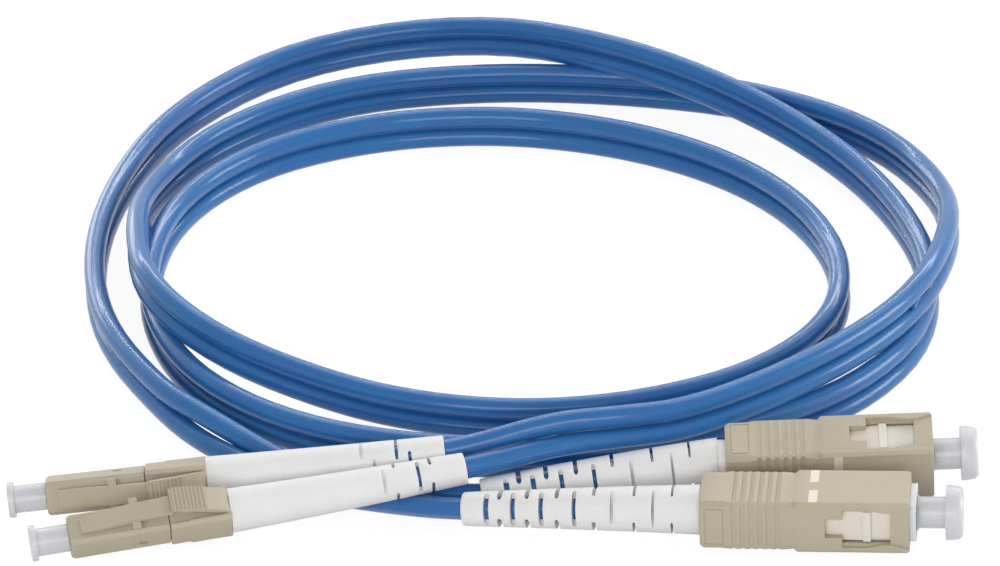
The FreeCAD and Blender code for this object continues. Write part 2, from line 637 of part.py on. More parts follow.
def lc_trigger():
    root = LC_TRIGGER_ROOT
    tip = LC_TRIGGER_TIP
    base = LC_REAR_H / 2 + RUN_GAP
    lift = 2.05
    thick = LC_TRIGGER_THICK
    outline = [(root + 0.8, base), (root, base)]
    for k in range(1, 5):
        part = k / 4
        outline.append((root - (root - tip) * part, base + lift * math.sin(part * math.pi / 2) ** 1.1))
    outline.append((tip, base + lift + thick * 0.7))
    for k in range(3, 0, -1):
        part = k / 4
        outline.append((root - (root - tip) * part, base + thick + lift * math.sin(part * math.pi / 2) ** 1.1))
    outline.append((root + 0.4, base + 0.5))
    arm = side_profile([(-x, z) for x, z in outline], LC_TRIGGER_WIDE)
    ribs = []
    for k in range(LC_TRIGGER_RIBS):
        x = tip + 0.9 + k * LC_TRIGGER_RIB_PITCH
        part = (root - x) / (root - tip)
        z = base + thick + lift * math.sin(part * math.pi / 2) ** 1.1
        ribs.append(block(-x - 0.22, -x + 0.22, -LC_TRIGGER_WIDE / 2, LC_TRIGGER_WIDE / 2, z - 0.4, z + 0.22))
    return arm.fuse(ribs)


def lc_boot(axis):
    grip = boot(axis, LC_BOOT_D, LC_BOOT_TAIL_D, BOOT_BORE, LC_BOOT_SLOTS, 0.0)
    crimp = (LC_STOP_TAIL_D + 2 * RUN_GAP + 2 * CRIMP_WALL) / math.cos(math.pi / 6) + 2 * RUN_GAP
    return grip.cut(rod(LC_CRIMP_BACK - SEAT_GAP, LC_REAR_BACK + 1, crimp))


def lc_cap():
    x0 = SEAT_GAP
    x1 = x0 + LC_CAP_BARREL_LEN
    x2 = x1 + LC_CAP_HEAD_LEN
    plug = LC_SLEEVE_BORE / 2 - SLIDE_GAP
    barrel = LC_CAP_BARREL_D / 2
    head = LC_CAP_HEAD_D / 2
    bore = LC_FERRULE_D / 2 + RUN_GAP
    end = LC_FERRULE_SHOW + SEAT_GAP
    return turned([(x0 - LC_CAP_PLUG_LEN, bore), (x0 - LC_CAP_PLUG_LEN, plug), (x0, plug), (x0, barrel),
                   (x1, barrel), (x1, head), (x2, head), (x2, 0), (end, 0), (end, bore)])


# ---------- cord ----------

def rounded_path(points):
    """Straight runs joined by tangent arcs, each as large as its two runs allow."""
    edges = []
    radii = []
    start = points[0]
    for before, corner, after in zip(points, points[1:], points[2:]):
        u = V(corner - before).normalize()
        w = V(after - corner).normalize()
        turn = u.getAngle(w)
        set_back = 0.45 * min((corner - before).Length, (after - corner).Length)
        radius = set_back / math.tan(turn / 2)
        radii.append(radius)
        arc_start = corner - u * set_back
        arc_end = corner + w * set_back
        middle = corner + V(w - u).normalize() * (radius / math.cos(turn / 2) - radius)
        edges.append(Part.LineSegment(start, arc_start).toShape())
        edges.append(Part.Arc(arc_start, middle, arc_end).toShape())
        start = arc_end
    edges.append(Part.LineSegment(start, points[-1]).toShape())
    return Part.Wire(edges), radii


def strand_tube(name, points):
    path, radii = rounded_path(points)
    corner = STRAND_D / 2 * math.sqrt(2 * math.pi / (STRAND_SIDES * math.sin(2 * math.pi / STRAND_SIDES)))
    ring = []
    for k in range(STRAND_SIDES):
        turn = 2 * math.pi * k / STRAND_SIDES
        ring.append(V(0, corner * math.cos(turn), corner * math.sin(turn)))
    section = Part.makePolygon(ring + ring[:1])
    section.Placement = FreeCAD.Placement(points[0], FreeCAD.Rotation(X_AXIS, points[1] - points[0]))
    tube = path.makePipe(Part.Face(section))
    expected = math.pi * (STRAND_D / 2) ** 2 * path.Length
    print(name, "radii", [round(r, 1) for r in radii], "volume ratio", round(tube.Volume / expected, 4))
    return tube


def station(index, radii):
    """Radius between stations, by a smooth cubic through the neighbouring ones."""
    k = min(max(int(math.floor(index)), 0), len(radii) - 2)
    t = index - k
    a = radii[max(k - 1, 0)]
    b = radii[k]
    c = radii[k + 1]
    d = radii[min(k + 2, len(radii) - 1)]
    return b + 0.5 * t * (c - a + t * (2 * a - 5 * b + 4 * c - d + t * (3 * (b - c) + d - a)))


COIL_HEIGHTS = [COIL_LIFTS.get(k, 0.0) for k in range(len(COIL_RADII))]


def coil_point(index, offset, height):
    angle = math.radians(COIL_START + index * STATION_STEP)
    radius = station(index, COIL_RADII) + offset
    return V(COIL_CENTRE[0] + radius * math.cos(angle), COIL_CENTRE[1] + radius * math.sin(angle), height)


def ring_edge(outside):
    """Closed outline round every low turn of the coil."""
    per_turn = int(360 / STATION_STEP) * 2
    half = STRAND_D / 2 + COIL_SKIN
    points = []
    for k in range(per_turn):
        passes = []
        index = k / 2
        while index <= len(COIL_RADII) - 1:
            if station(index, COIL_HEIGHTS) < RAISED or not outside:
                passes.append((station(index, COIL_RADII), index))
            index += per_turn / 2
        radius, index = max(passes) if outside else min(passes)
        points.append(coil_point(index, half if outside else -half, FLOOR_Z))
    return Part.makePolygon(points + points[:1])


def raised_pass(first, last):
    """One stretch of the pair that climbs over another."""
    wires = []
    steps = int((last - first) * 2)
    half = STRAND_D / 2 + COIL_SKIN
    tall = (STRAND_D + STRAND_PITCH) / 2 + COIL_SKIN
    for k in range(steps + 1):
        index = first + k / 2
        z = PAIR_Z + station(index, COIL_HEIGHTS)
        low = max(z - tall, FLOOR_Z)
        corners = [(-half, low), (half, low), (half, z + tall), (-half, z + tall), (-half, low)]
        wires.append(Part.makePolygon([coil_point(index, r, h) for r, h in corners]))
    return Part.makeLoft(wires, True, True)


def cord_coil():
    ring = Part.Face([ring_edge(True), ring_edge(False)])
    height = STRAND_D + STRAND_PITCH + COIL_SKIN
    body = ring.extrude(V(0, 0, height))
    return body.fuse([raised_pass(first, last) for first, last in RAISED_SPANS])


# ---------- assembly ----------

def sc_plug(housing_front, axis):
    return {
        "outer_housing": sc_housing(housing_front),
        "marks": sc_marks(housing_front),
        "plug_frame": sc_plug_frame(),
        "ferrule": sc_ferrule(),
        "ferrule_flange": sc_flange(),
        "spring": sc_spring(),
        "spring_stop": sc_spring_stop(),
        "crimp_sleeve": sc_crimp_sleeve(),
        "boot": sc_boot(axis),
        "dust_cap": sc_cap(),
    }


def lc_plug(axis):
    return {
        "front_housing": lc_front_housing(),
        "rear_housing": lc_rear_housing(),
        "latch": lc_latch(),
        "trigger": lc_trigger(),
        "ferrule": lc_ferrule(),
        "ferrule_flange": lc_flange(),
        "spring": lc_spring(),
        "crimp_sleeve": lc_crimp_sleeve(),
        "boot": lc_boot(axis),
        "dust_cap": lc_cap(),
    }


def strand_path(spot, axis, crimp_back, outside):
    placement = placed_at(spot)
    start = V(crimp_back - SEAT_GAP, 0, 0)
    inside = [start] + axis.corners(start.x)
    return [placement.multVec(point) for point in inside] + [V(*point) for point in outside]


def build():
    housing_front = SC_FRAME_FRONT - SC_FRAME_SHOW
    plugs = [
        ("sc_front", SC_FRONT_AT, SC_FRONT_BEND, 0.0, housing_front),
        ("sc_rear", SC_REAR_AT, SC_REAR_BEND, SC_REAR_LEAN, housing_front + SC_HOUSING_TRAVEL),
        ("lc_front", LC_FRONT_AT, LC_FRONT_BEND, 0.0, None),
        ("lc_rear", LC_REAR_AT, LC_REAR_BEND, 0.0, None),
    ]
    nodes = {"cord_coil": cord_coil()}
    for plug, spot, bend, lean, front in plugs:
        if plug.startswith("sc"):
            axis = BootAxis(SC_BOOT_ROOT, SC_BOOT_LEN, spot, bend, lean)
            pieces = sc_plug(front, axis)
            crimp_back = SC_CRIMP_BACK
        else:
            axis = BootAxis(LC_REAR_BACK, LC_BOOT_LEN, spot, bend, lean)
            pieces = lc_plug(axis)
            crimp_back = LC_CRIMP_BACK
        for name, shape in pieces.items():
            shape.Placement = placed_at(spot).multiply(shape.Placement)
            nodes[plug + "_" + name] = shape
        path = strand_path(spot, axis, crimp_back, LEG_POINTS[plug])
        nodes[plug + "_cord"] = strand_tube(plug + "_cord", path)
    return nodes


def main():
    os.makedirs("parts", exist_ok=True)
    for name, shape in build().items():
        shape.exportStep("parts/" + name + ".step")


main()
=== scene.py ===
import json
import math
from typing import NamedTuple

import bmesh
import bpy
from mathutils import Matrix, Vector


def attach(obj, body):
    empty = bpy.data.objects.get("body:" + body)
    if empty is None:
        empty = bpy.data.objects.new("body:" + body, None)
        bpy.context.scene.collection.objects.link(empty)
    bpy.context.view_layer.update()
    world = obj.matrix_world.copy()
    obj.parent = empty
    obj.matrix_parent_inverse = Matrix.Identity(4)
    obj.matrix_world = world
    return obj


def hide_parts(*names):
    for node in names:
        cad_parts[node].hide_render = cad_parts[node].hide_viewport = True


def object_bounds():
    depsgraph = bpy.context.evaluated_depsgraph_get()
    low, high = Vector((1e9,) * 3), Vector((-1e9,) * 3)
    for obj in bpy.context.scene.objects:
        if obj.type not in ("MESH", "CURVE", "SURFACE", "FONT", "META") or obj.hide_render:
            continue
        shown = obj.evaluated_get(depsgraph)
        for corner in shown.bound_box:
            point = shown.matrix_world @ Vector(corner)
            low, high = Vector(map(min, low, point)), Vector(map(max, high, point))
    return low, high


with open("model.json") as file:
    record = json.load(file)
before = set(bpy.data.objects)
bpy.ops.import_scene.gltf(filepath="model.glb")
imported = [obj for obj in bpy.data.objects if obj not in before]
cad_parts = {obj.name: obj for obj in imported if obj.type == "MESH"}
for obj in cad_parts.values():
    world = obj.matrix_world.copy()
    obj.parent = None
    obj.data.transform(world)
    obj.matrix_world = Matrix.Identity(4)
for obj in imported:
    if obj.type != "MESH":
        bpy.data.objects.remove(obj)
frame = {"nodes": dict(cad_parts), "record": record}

# Duplex LC to SC fibre patch cord. The frame is in metres; the sizes named here are in millimetres.
MM = 0.001
cad_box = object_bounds()
CORD_BODY = "cord_set"
# Where each plug lies: its front end, and yaw, pitch and roll in degrees. It runs back from there along -X.
PLUG_LIES = {
    "sc_front": ((0.0, 0.0, 0.0), (0.0, 0.0, 0.0)),
    "sc_rear": ((1.4, 13.3, 1.0), (4.6, -0.6, 107.0)),
    "lc_front": ((-110.7, -7.2, -1.1), (195.3, 2.8, -30.0)),
    "lc_rear": ((-115.0, 2.7, -0.75), (188.5, 3.0, -73.0)),
}


# ---------- shader building ----------

class Signal:
    """A shader socket that takes part in ordinary arithmetic."""

    def __init__(self, finish, socket):
        self.finish = finish
        self.socket = socket

    def math(self, operation, left, right):
        return self.finish.node("ShaderNodeMath", {"operation": operation}, {0: left, 1: right})

    def __add__(self, other):
        return self.math("ADD", self, other)

    __radd__ = __add__

    def __sub__(self, other):
        return self.math("SUBTRACT", self, other)

    def __rsub__(self, other):
        return self.math("SUBTRACT", other, self)

    def __mul__(self, other):
        return self.math("MULTIPLY", self, other)

    __rmul__ = __mul__


class Finish:
    """The nodes of one material, or of the world."""

    def __init__(self, name, world=False):
        self.holder = (bpy.data.worlds if world else bpy.data.materials).new(name)
        self.holder.use_nodes = True
        self.nodes = self.holder.node_tree.nodes
        self.links = self.holder.node_tree.links
        self.nodes.clear()
        self.output = self.nodes.new("ShaderNodeOutputWorld" if world else "ShaderNodeOutputMaterial")

    def node(self, kind, settings=None, inputs=None, output=0):
        made = self.nodes.new(kind)
        for key, value in (settings or {}).items():
            setattr(made, key, value)
        for key, value in (inputs or {}).items():
            if isinstance(value, Signal):
                self.links.new(value.socket, made.inputs[key])
            else:
                made.inputs[key].default_value = value
        return Signal(self, made.outputs[output])

    def place(self):
        return self.node("ShaderNodeTexCoord", output="Object")

    def noise(self, per_mm, detail=2.0, roughness=0.5):
        """Noise from 0 to 1 with about per_mm blotches to the millimetre."""
        return self.node("ShaderNodeTexNoise", inputs={
            "Vector": self.place(), "Scale": per_mm / MM, "Detail": detail, "Roughness": roughness})

    def ramp(self, value, start, end, top=1.0):
        """From 0 at start to top at end."""
        return self.node("ShaderNodeMapRange", inputs={
            "Value": value, "From Min": start, "From Max": end, "To Max": top})

    def blend(self, factor, first, second):
        return self.node("ShaderNodeMix", {"data_type": "RGBA"}, {0: factor, 6: first, 7: second}, output=2)

    def bump(self, height, distance_mm):
        return self.node("ShaderNodeBump", inputs={"Height": height, "Distance": distance_mm * MM})

    def seen_past_object(self):
        """One for what the camera, a gloss or clear plastic shows, and zero for the light on the object."""
        rays = ("Is Camera Ray", "Is Glossy Ray", "Is Transmission Ray")
        seen, gloss, through = (self.node("ShaderNodeLightPath", output=ray) for ray in rays)
        return seen + gloss + through

    def show(self, shader):
        self.links.new(shader.socket, self.output.inputs["Surface"])
        return self.holder

    def surface(self, varying, constants):
        return self.show(self.node("ShaderNodeBsdfPrincipled", inputs={**constants, **varying}))


# ---------- finishes ----------

def shade(colour, factor):
    return tuple(channel * factor for channel in colour[:3]) + (1.0,)


def moulded_plastic(name, colour, grain_mm, grain_depth_mm, mottle, ageing, roughness):
    """Spark-eroded moulding: fine grain, faint mottling, and a broad variation of tone with age."""
    finish = Finish(name)
    grain = finish.noise(1.0 / grain_mm, 3.0, 0.6)
    cloud = finish.noise(0.25, 3.0)
    tone = finish.blend(cloud, shade(colour, 1 - ageing), shade(colour, 1 + ageing))
    speckle = finish.blend(grain * 2 - 0.5, shade(colour, 1 - 2 * mottle), shade(colour, 1 + 2 * mottle))
    return finish.surface(
        {"Base Color": finish.blend(0.5, tone, speckle), "Roughness": roughness - 0.06 + 0.12 * grain,
         "Normal": finish.bump(grain, grain_depth_mm)},
        {"Specular IOR Level": 0.4})


def frame_plastic(name, warm, cool, cool_from_mm):
    """Natural moulding, creamy inside the shell and cooler at its bare front; the cream inside the shell is
    partly the frame's own tone and partly painted warm light bounced off the beige shell.
    """
    finish = Finish(name)
    grain = finish.noise(3.5)
    along = finish.node("ShaderNodeSeparateXYZ", inputs={0: finish.place()})
    front = finish.ramp(along, cool_from_mm * MM, (cool_from_mm + 0.4) * MM)
    # The warm tone inside the shell is partly painted bounce light from the beige shell; the cool tone at the
    # bare front is the frame's own.
    tone = finish.blend(front, warm, cool)
    return finish.surface(
        {"Base Color": finish.blend(grain * 0.2, tone, shade(warm, 0.92)), "Roughness": 0.36 + 0.12 * grain,
         "Normal": finish.bump(grain, 0.008)},
        {"Specular IOR Level": 0.45, "Subsurface Weight": 0.15, "Subsurface Radius": (1.0, 0.95, 0.85),
         "Subsurface Scale": 0.5 * MM})


def soft_rubber(name, colour):
    finish = Finish(name)
    grain = finish.noise(4.0, 3.0, 0.55)
    cloud = finish.noise(0.3)
    return finish.surface(
        {"Base Color": finish.blend(cloud, shade(colour, 0.95), shade(colour, 1.03)),
         "Roughness": 0.5 + 0.1 * grain, "Normal": finish.bump(grain, 0.02)},
        {"Specular IOR Level": 0.35, "Subsurface Weight": 0.08, "Subsurface Radius": (1.0, 0.9, 0.8),
         "Subsurface Scale": 0.4 * MM})


def milky_plastic(name, colour):
    """Unfilled polymer that light goes into."""
    finish = Finish(name)
    grain = finish.noise(3.0)
    cloud = finish.noise(0.35)
    return finish.surface(
        {"Base Color": finish.blend(cloud, shade(colour, 0.96), shade(colour, 1.02)),
         "Roughness": 0.27 + 0.12 * grain, "Normal": finish.bump(grain, 0.008)},
        {"Specular IOR Level": 0.5, "Subsurface Weight": 0.5, "Subsurface Radius": (1.0, 1.0, 1.1),
         "Subsurface Scale": 1.6 * MM, "Transmission Weight": 0.18, "IOR": 1.49})


def turned_metal(name, colour, roughness, wear_per_mm):
    finish = Finish(name)
    wear = finish.noise(wear_per_mm, 2.0, 0.7)
    return finish.surface(
        {"Base Color": finish.blend(wear, shade(colour, 0.92), shade(colour, 1.05)),
         "Roughness": roughness - 0.05 + 0.1 * wear, "Normal": finish.bump(wear, 0.004)},
        {"Metallic": 1.0})


def polished_ceramic(name, colour):
    finish = Finish(name)
    cloud = finish.noise(1.0)
    base = finish.blend(cloud, shade(colour, 0.98), shade(colour, 1.0))
    return finish.surface({"Base Color": base, "Roughness": 0.12 + 0.04 * cloud}, {"Coat Weight": 0.3})


def cable_jacket(name, colour, deep, pale):
    """Extruded jacket: fine grain, deeper blotches, thin pale streaks along the strand that are painted
    highlight, and a gloss broken by the grain.
    """
    finish = Finish(name)
    grain = finish.noise(9.0, 2.0, 0.6)
    slow = finish.noise(0.12)
    wave = finish.noise(0.45, 1.0)
    streak_uv = finish.node("ShaderNodeMapping", inputs={
        "Vector": finish.node("ShaderNodeTexCoord", output="UV"), "Scale": (9.0, 7.0, 1.0)})
    lines = finish.node("ShaderNodeTexNoise", inputs={
        "Vector": streak_uv, "Scale": 1.0, "Detail": 3.0, "Roughness": 0.6})
    # Pale streaks along the strand are painted highlight: the pale colour is laid into the base colour where
    # the noise runs high.
    painted_highlight_streak = finish.ramp(lines + grain * 0.16, 0.66, 0.76, top=0.6)
    tone = finish.blend(slow * 1.6 - 0.4, colour, deep)
    speckled = finish.blend(grain * 0.35, tone, shade(colour, 1.2))
    return finish.surface(
        {"Base Color": finish.blend(painted_highlight_streak, speckled, pale), "Roughness": 0.3 + 0.08 * wave + 0.08 * grain,
         "Normal": finish.bump(grain, 0.014), "Coat Weight": grain * 1.6 - 0.35},
        {"Specular IOR Level": 0.2, "Coat Roughness": 0.13, "Coat IOR": 1.45, "Sheen Weight": 0.1,
         "Sheen Roughness": 0.35, "Sheen Tint": (0.62, 0.66, 0.95, 1.0)})


BEIGE = (0.47, 0.42, 0.315, 1.0)
CREAM = (0.74, 0.705, 0.61, 1.0)
COOL = (0.68, 0.72, 0.74, 1.0)
WHITE = (0.79, 0.785, 0.785, 1.0)
MILK = (0.70, 0.705, 0.735, 1.0)
ZIRCONIA = (0.86, 0.86, 0.83, 1.0)
BLUE = (0.017, 0.148, 0.385, 1.0)
DEEP_BLUE = (0.026, 0.108, 0.350, 1.0)
# Colour of the painted highlight streaks on the cord.
PAINTED_HIGHLIGHT_BLUE = (0.15, 0.20, 0.43, 1.0)

MATERIALS = {
    "housing_beige": moulded_plastic("housing_beige", BEIGE, grain_mm=0.17, grain_depth_mm=0.024, mottle=0.1,
                                     ageing=0.06, roughness=0.55),
    "frame_cream": frame_plastic("frame_cream", CREAM, COOL, cool_from_mm=-2.6),
    "boot_white": soft_rubber("boot_white", WHITE),
    "cap_milky": milky_plastic("cap_milky", MILK),
    "ferrule_zirconia": polished_ceramic("ferrule_zirconia", ZIRCONIA),
    "flange_metal": turned_metal("flange_metal", (0.62, 0.61, 0.58), roughness=0.3, wear_per_mm=6.0),
    "spring_steel": turned_metal("spring_steel", (0.55, 0.55, 0.56), roughness=0.25, wear_per_mm=4.0),
    "stop_metal": turned_metal("stop_metal", (0.66, 0.62, 0.52), roughness=0.35, wear_per_mm=5.0),
    "crimp_metal": turned_metal("crimp_metal", (0.7, 0.7, 0.71), roughness=0.4, wear_per_mm=3.0),
    "cord_blue": cable_jacket("cord_blue", BLUE, DEEP_BLUE, PAINTED_HIGHLIGHT_BLUE),
}


# ---------- mesh helpers ----------

ROD_SIDES = 48


def mesh_object(name, mesh):
    data = bpy.data.meshes.new(name)
    mesh.to_mesh(data)
    mesh.free()
    made = bpy.data.objects.new(name, data)
    bpy.context.scene.collection.objects.link(made)
    return made


def combine(body, name, mesh, operation):
    """Add a mesh to the body's, or take it out."""
    other = mesh_object(name, mesh)
    joint = body.modifiers.new("joint", "BOOLEAN")
    joint.object = other
    joint.operation = operation
    joint.solver = "EXACT"
    shaped = bpy.data.meshes.new_from_object(body.evaluated_get(bpy.context.evaluated_depsgraph_get()))
    body.modifiers.clear()
    body.data = shaped
    bpy.data.objects.remove(other)


def merge(mesh, part):
    """Put a finished part among the separate parts of a mesh."""
    shape = bpy.data.meshes.new("part")
    part.to_mesh(shape)
    part.free()
    mesh.from_mesh(shape)
    bpy.data.meshes.remove(shape)


def box(size):
    block = bmesh.new()
    bmesh.ops.create_cube(block, size=1.0)
    bmesh.ops.scale(block, verts=block.verts, vec=size)
    return block


def add_block(mesh, *spans):
    """Block that fills a span along each of X, Y and Z."""
    block = box([high - low for low, high in spans])
    bmesh.ops.translate(block, verts=block.verts, vec=[(low + high) / 2 for low, high in spans])
    merge(mesh, block)


def add_slab(mesh, outline, y0, y1):
    """Outline in X and Z, from y0 to y1."""
    slab = bmesh.new()
    corners = [slab.verts.new((x, y0, z)) for x, z in outline]
    face = bmesh.ops.contextual_create(slab, geom=corners)["faces"]
    raised = bmesh.ops.extrude_face_region(slab, geom=face)["geom"]
    far = [item for item in raised if isinstance(item, bmesh.types.BMVert)]
    bmesh.ops.translate(slab, verts=far, vec=(0, y1 - y0, 0))
    bmesh.ops.recalc_face_normals(slab, faces=slab.faces)
    merge(mesh, slab)


def rod(x0, x1, diameter):
    made = bmesh.new()
    bmesh.ops.create_cone(made, cap_ends=True, segments=ROD_SIDES, radius1=diameter / 2, radius2=diameter / 2,
                          depth=x1 - x0)
    bmesh.ops.rotate(made, verts=made.verts, cent=(0, 0, 0), matrix=Matrix.Rotation(math.pi / 2, 3, "Y"))
    bmesh.ops.translate(made, verts=made.verts, vec=((x0 + x1) / 2, 0, 0))
    return made


def bevelled_ring(mesh, x, width, height, corner):
    half_w = width / 2
    half_h = height / 2
    quarter = [(half_w, half_h - corner), (half_w - corner, half_h)]
    upper = quarter + [(-y, z) for y, z in reversed(quarter)]
    lower = [(-y, -z) for y, z in upper]
    corners = [mesh.verts.new((x, y, z)) for y, z in upper + lower]
    return [mesh.edges.new(pair) for pair in zip(corners, corners[1:] + corners[:1])]


def bevelled_bar(sections):
    """Closed bar through eight-cornered sections, each a place along X, a width, a height and a corner."""
    mesh = bmesh.new()
    rings = [bevelled_ring(mesh, *section) for section in sections]
    for first, second in zip(rings, rings[1:]):
        bmesh.ops.bridge_loops(mesh, edges=first + second)
    for ring in (rings[0], rings[-1]):
        bmesh.ops.contextual_create(mesh, geom=ring)
    bmesh.ops.recalc_face_normals(mesh, faces=mesh.faces)
    return mesh


def on_side(side, inner, outer):
    """Span from inner to outer on the positive side, or its mirror image."""
    return sorted((side * inner, side * outer))


# ---------- edges, finish and place of a piece ----------

SMOOTH_ANGLE = math.radians(38)
WELD_REACH = 0.002
BROAD_FACE_WEIGHT = 60
MOULD_EDGE = 0.05


def soften(piece, width_mm, hard=False):
    """Weld the piece, round its edges and shade it as a moulding; hard keeps its flats quite flat."""
    for polygon in piece.data.polygons:
        polygon.use_smooth = True
    weld = piece.modifiers.new("joined", "WELD")
    weld.merge_threshold = WELD_REACH * MM
    if not width_mm:
        split = piece.modifiers.new("crisp_edges", "EDGE_SPLIT")
        split.split_angle = SMOOTH_ANGLE
        return
    bevel = piece.modifiers.new("soft_edges", "BEVEL")
    bevel.width = width_mm * MM
    bevel.segments = 2
    bevel.limit_method = "ANGLE"
    bevel.angle_limit = SMOOTH_ANGLE
    bevel.use_clamp_overlap = True
    bevel.miter_outer = "MITER_ARC"
    bevel.harden_normals = hard
    if not hard:
        normals = piece.modifiers.new("even_shading", "WEIGHTED_NORMAL")
        normals.weight = BROAD_FACE_WEIGHT


def paint(piece, material):
    piece.data.materials.clear()
    piece.data.materials.append(MATERIALS[material])


def settle(piece, plug, body, node, edge_round=MOULD_EDGE):
    """Lay a beige piece along its plug, give it its finish and body, and hide the CAD node that it stands in
    for.
    """
    spot, (yaw, pitch, roll) = PLUG_LIES[plug]
    turn = (Matrix.Rotation(math.radians(yaw), 4, "Z") @ Matrix.Rotation(math.radians(pitch), 4, "Y")
            @ Matrix.Rotation(math.radians(roll), 4, "X"))
    lie = Matrix.Scale(MM, 4) @ Matrix.Translation(spot) @ turn
    mesh = bmesh.new()
    mesh.from_mesh(piece.data)
    bmesh.ops.triangulate(mesh, faces=mesh.faces, quad_method="BEAUTY", ngon_method="BEAUTY")
    bmesh.ops.transform(mesh, verts=mesh.verts, matrix=lie)
    mesh.to_mesh(piece.data)
    mesh.free()
    paint(piece, "housing_beige")
    soften(piece, edge_round, hard=True)
    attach(piece, body)
    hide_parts(node)


# ---------- carried-over CAD nodes ----------

CAD_EDGES = {"rear_housing": 0.08, "plug_frame": 0.12, "marks": 0.03, "dust_cap": 0.12}

for subpart in frame["record"]["subparts"]:
    piece = frame["nodes"][subpart["node"]]
    paint(piece, subpart["material_slot"])
    kind = subpart["node"].split("_", 2)[-1]
    soften(piece, CAD_EDGES.get(kind, 0))


# ---------- bend reliefs ----------

BOOT_BORE_R = 1.55
CRIMP_BORE_R = 2.475
GRIP_R = 2.6
COLLAR_R = 2.95
BOOT_RINGS = 24
BOOT_SIDES = 64
BOOT_EDGE = 0.06
TAIL_ROUND = 0.25
TAIL_STEPS = 3
SLOT_SPREAD = math.radians(58)
SLOT_END_SHARE = 0.48
OPEN_REACH = 0.8
BLIND_REACH = 1.7


class BootForm(NamedTuple):
    """Sizes of a boot; its profile at the root's front is given as places along it and radii."""
    set_back: float  # of the root from the ferrule's end face
    length: float
    root_d: float
    tail_d: float
    front: list
    slots: list  # distance of each from the tail
    open_to: float  # slots nearer the tail than this run through to the cord
    tail_slot: float  # width of a slot at the tail
    root_slot: float  # and at the root

    def skin(self, along):
        """Outer radius at a distance from the root."""
        return (self.root_d + (self.tail_d - self.root_d) * along / self.length) / 2


class BootLie(NamedTuple):
    bend: tuple  # how far the tail swings along Y and Z
    lean: float  # angle of the boot's line at its root, in degrees
    face: float  # how far from upright the first slot faces, in degrees


BOOT_FORMS = {
    "sc": BootForm(
        set_back=29.3, length=31.0, root_d=6.5, tail_d=4.4,
        front=[(-2.9, BOOT_BORE_R), (-2.9, CRIMP_BORE_R), (-8.2, CRIMP_BORE_R), (-8.2, GRIP_R),
               (-3.3, GRIP_R), (-3.3, COLLAR_R), (0.0, COLLAR_R)],
        slots=[3.4, 5.1, 6.9, 8.7, 10.6, 12.6, 14.9, 17.4, 19.8, 22.6, 25.1, 27.5],
        open_to=16.0, tail_slot=0.78, root_slot=0.24),
    "lc": BootForm(
        set_back=22.7, length=31.2, root_d=5.8, tail_d=4.2,
        front=[(5.05, BOOT_BORE_R), (5.05, CRIMP_BORE_R), (0.0, CRIMP_BORE_R)],
        slots=[4.6, 6.3, 9.3, 10.9],
        open_to=8.0, tail_slot=0.46, root_slot=0.3),
}
BOOT_LIES = {
    "sc_front": BootLie(bend=(1.6, -1.3), lean=0.0, face=61.5),
    "sc_rear": BootLie(bend=(-2.1, -2.45), lean=4.6, face=74.0),
    "lc_front": BootLie(bend=(0.3, 0.3), lean=0.0, face=144.0),
    "lc_rear": BootLie(bend=(-0.1, 0.3), lean=0.0, face=101.5),
}


def straight_boot(form):
    """Hollow taper along +X from its root at 0 to its rounded tail, spun from its profile."""
    stations = [form.length * k / BOOT_RINGS for k in range(BOOT_RINGS)]
    profile = [(along, form.skin(along)) for along in stations if along < form.length - TAIL_ROUND]
    for k in range(TAIL_STEPS + 1):
        angle = math.pi / 2 * k / TAIL_STEPS
        profile.append((form.length - TAIL_ROUND * (1 - math.sin(angle)),
                        form.tail_d / 2 - TAIL_ROUND * (1 - math.cos(angle))))
    bore_from = max(form.front[0][0], 0.0)
    profile.append((form.length, BOOT_BORE_R))
    profile += [(along, BOOT_BORE_R) for along in reversed(stations) if along > bore_from]
    profile += form.front
    mesh = bmesh.new()
    corners = [mesh.verts.new((along, 0.0, radius)) for along, radius in profile]
    edges = [mesh.edges.new(pair) for pair in zip(corners, corners[1:] + corners[:1])]
    bmesh.ops.spin(mesh, geom=corners + edges, cent=(0, 0, 0), axis=(1, 0, 0), angle=2 * math.pi,
                   steps=BOOT_SIDES, use_merge=True)
    bmesh.ops.recalc_face_normals(mesh, faces=mesh.faces)
    return mesh


def add_slot(mesh, along, wide, tall, reach, outer, turn):
    """Block with round ends that stands off the boot's line at reach and runs out past its skin."""
    block = box((wide, tall, outer - reach))
    upright = [edge for edge in block.edges if edge.verts[0].co.xy == edge.verts[1].co.xy]
    bmesh.ops.bevel(block, geom=upright, offset=wide * SLOT_END_SHARE, offset_type="OFFSET", affect="EDGES",
                    segments=4, profile=0.5, material=-1)
    bmesh.ops.translate(block, verts=block.verts, vec=(along, 0, (outer + reach) / 2))
    bmesh.ops.rotate(block, verts=block.verts, cent=(0, 0, 0), matrix=Matrix.Rotation(turn, 3, "X"))
    merge(mesh, block)


def boot_slots(form, face_turn):
    """Cutters in opposite pairs, each pair a quarter turn from the last."""
    mesh = bmesh.new()
    for number, from_tail in enumerate(form.slots):
        along = form.length - from_tail
        wide = form.tail_slot + (form.root_slot - form.tail_slot) * from_tail / form.length
        tall = 2 * form.skin(along) * math.sin(SLOT_SPREAD)
        reach = OPEN_REACH if from_tail < form.open_to else BLIND_REACH
        for opposite in (0, math.pi):
            turn = face_turn + math.pi / 2 * (number % 2) + opposite
            add_slot(mesh, along, wide, tall, reach, form.root_d, turn)
    return mesh


def bend_boot(piece, root, axis, side, lean, radius):
    """Lay a straight boot along its arc; what is in front of the root stays straight."""
    level = axis.cross(side)
    for vertex in piece.data.vertices:
        along, level_off, side_off = vertex.co
        angle = 0.0
        centre = root - axis * along
        if along > 0:
            angle = lean + along / radius
            centre = (root - axis * radius * (math.sin(angle) - math.sin(lean))
                      + side * radius * (math.cos(lean) - math.cos(angle)))
        outward = side * math.cos(angle) + axis * math.sin(angle)
        vertex.co = (centre + outward * side_off + level * level_off) * MM


